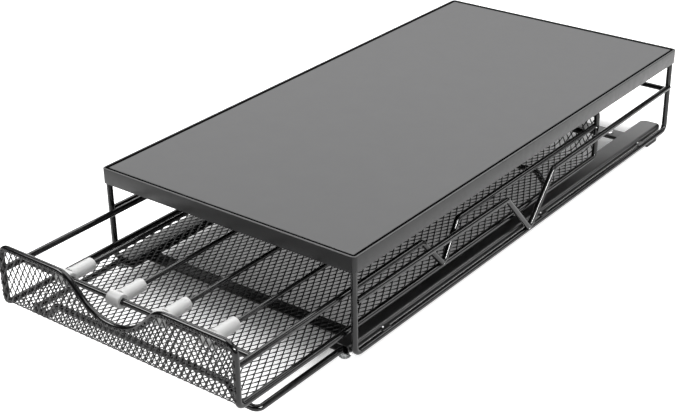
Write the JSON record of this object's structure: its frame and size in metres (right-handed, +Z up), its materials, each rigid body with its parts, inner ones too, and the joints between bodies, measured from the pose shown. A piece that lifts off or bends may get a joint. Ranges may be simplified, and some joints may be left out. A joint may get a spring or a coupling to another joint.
{
  "type": "coffee pod drawer",
  "caption": "Low wire stand with a flat steel top and a sliding mesh drawer, in which coffee capsules hang by their rims between adjustable divider wires.",
  "frame": {"origin": "middle of the underside of the whole part, with the drawer pulled out by 95 mm", "axes": "+X to the right seen from the drawer's front, +Y from the front to the back along the drawer's travel, +Z up from the counter"},
  "size_m": [0.2, 0.4938, 0.069],
  "materials": {
    "top_sheet": "dark grey powder coat with a fine silk texture",
    "frame_sheet": "black powder coat, satin",
    "wire": "black powder coat, semi-gloss",
    "mesh": "black powder coat, semi-gloss",
    "clip": "white plastic, satin",
    "screw": "bright plated",
    "foot": "matt black",
    "pad": "clear, soft"
  },
  "bodies": {
    "housing": {"top_panel": "top_sheet", "left_channel": "frame_sheet", "right_channel": "frame_sheet", "left_tab_front": "frame_sheet", "left_tab_middle": "frame_sheet", "left_tab_rear": "frame_sheet", "right_tab_front": "frame_sheet", "right_tab_middle": "frame_sheet", "right_tab_rear": "frame_sheet", "front_strip": "frame_sheet", "rear_strip": "frame_sheet", "top_rim": "frame_sheet", "left_side_frame": "wire", "right_side_frame": "wire", "left_mid_rail": "wire", "right_mid_rail": "wire", "rear_tie_wire": "wire", "left_stop_screw": "screw", "right_stop_screw": "screw", "left_rear_foot": "foot", "right_rear_foot": "foot", "clear_pad_left": "pad", "clear_pad_right": "pad"},
    "drawer": {"front_outline_wire": "wire", "rear_outline_wire": "wire", "left_bottom_rail": "wire", "right_bottom_rail": "wire", "left_side_wire": "wire", "right_side_wire": "wire", "left_runner": "wire", "right_runner": "wire", "front_loop_wire": "wire", "rear_loop_wire": "wire", "front_divider_rod": "wire", "rear_divider_rod": "wire", "front_mesh": "mesh", "floor_mesh": "mesh", "rear_mesh": "mesh"},
    "divider_1": {"divider_1_wire": "wire", "divider_1_front_clip": "clip", "divider_1_rear_clip": "clip"},
    "divider_2": {"divider_2_wire": "wire", "divider_2_front_clip": "clip", "divider_2_rear_clip": "clip"},
    "divider_3": {"divider_3_wire": "wire", "divider_3_front_clip": "clip", "divider_3_rear_clip": "clip"},
    "divider_4": {"divider_4_wire": "wire", "divider_4_front_clip": "clip", "divider_4_rear_clip": "clip"}
  },
  "joints": [
    {"name": "drawer_slide", "type": "slide", "parent": "housing", "child": "drawer", "axis": [0, 1, 0], "range_m": [-0.185, 0.095]},
    {"name": "divider_1_slide", "type": "slide", "parent": "drawer", "child": "divider_1", "axis": [1, 0, 0], "range_m": [-0.0275, 0.0125]},
    {"name": "divider_2_slide", "type": "slide", "parent": "drawer", "child": "divider_2", "axis": [1, 0, 0], "range_m": [-0.016, 0.011]},
    {"name": "divider_3_slide", "type": "slide", "parent": "drawer", "child": "divider_3", "axis": [1, 0, 0], "range_m": [-0.011, 0.011]},
    {"name": "divider_4_slide", "type": "slide", "parent": "drawer", "child": "divider_4", "axis": [1, 0, 0], "range_m": [-0.011, 0.02]}
  ]
}
